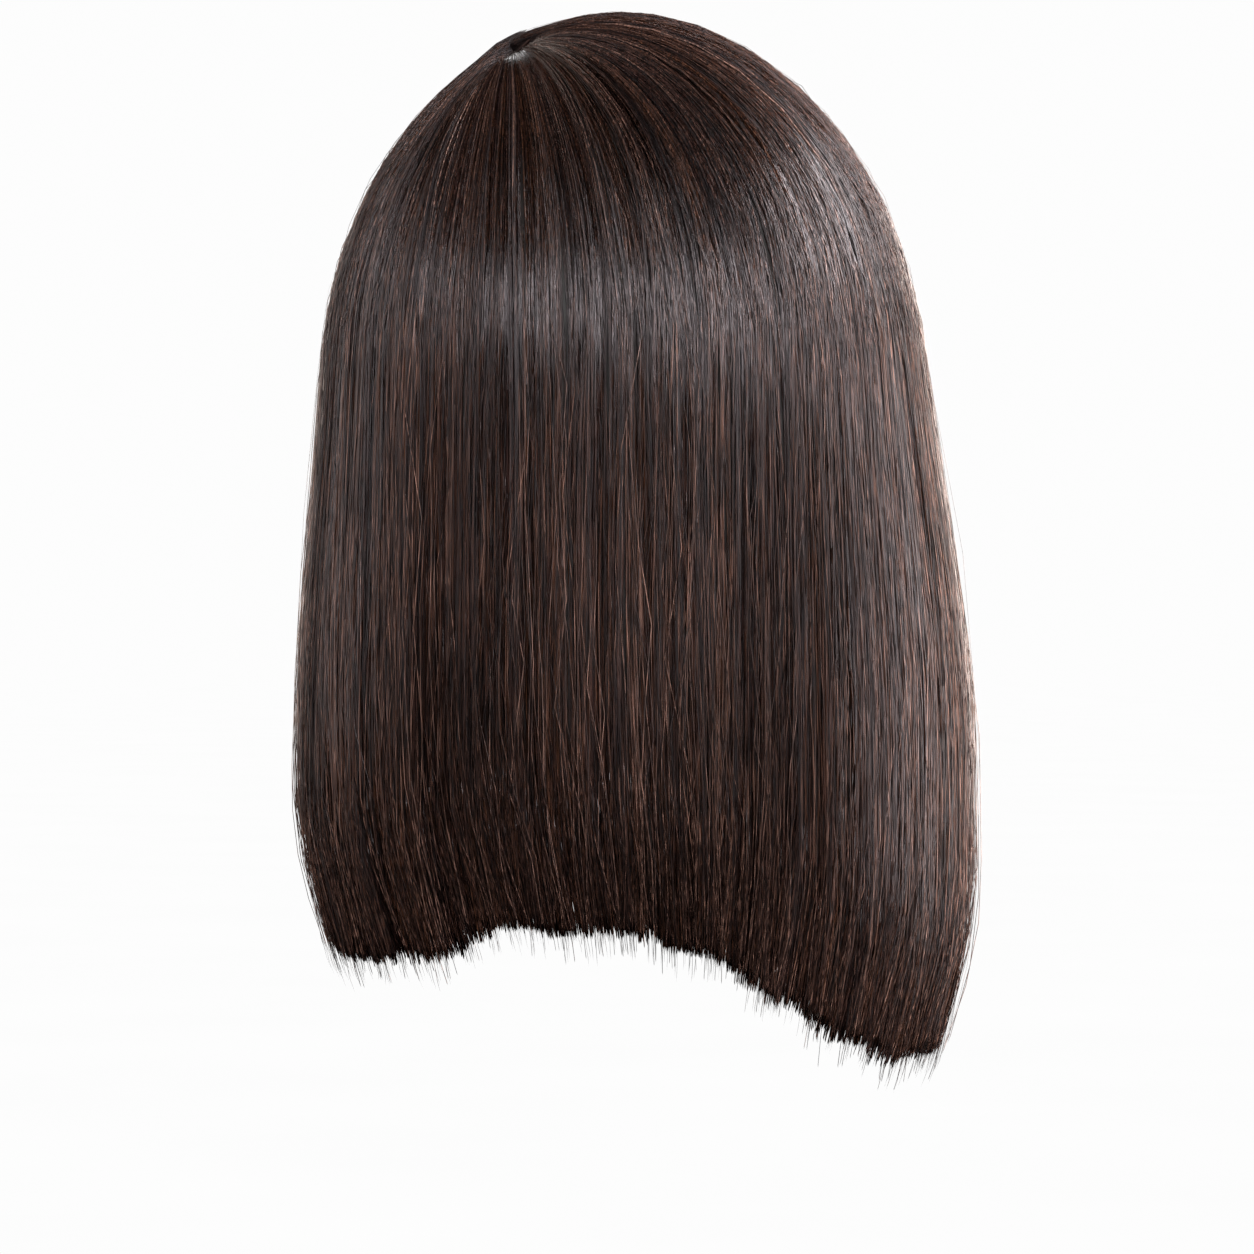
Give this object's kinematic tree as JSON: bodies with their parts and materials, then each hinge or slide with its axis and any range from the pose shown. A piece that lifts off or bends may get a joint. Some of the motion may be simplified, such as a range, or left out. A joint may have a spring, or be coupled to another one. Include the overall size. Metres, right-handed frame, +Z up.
{
  "type": "bob wig",
  "caption": "Straight side-parted bob wig: a hollow cap with fused locks of hair that fall past the chin to a slanting hem.",
  "frame": {"origin": "inside of the cap at the crown, where the top of the head touches it", "axes": "+Z up out of the crown, the face looks along -Y, +X is the wearer's left"},
  "size_m": [0.2207, 0.1945, 0.3474],
  "materials": {
    "cap_fabric": "matte stretch mesh",
    "lace": "matte lace",
    "hair": "soft sheen, straight strands"
  },
  "bodies": {
    "root": {"wig_cap": "cap_fabric", "nape_band": "cap_fabric", "parting_lace": "lace", "left_face_hair": "hair", "left_side_hair": "hair", "back_hair": "hair", "right_side_hair": "hair", "right_face_hair": "hair"}
  },
  "joints": []
}
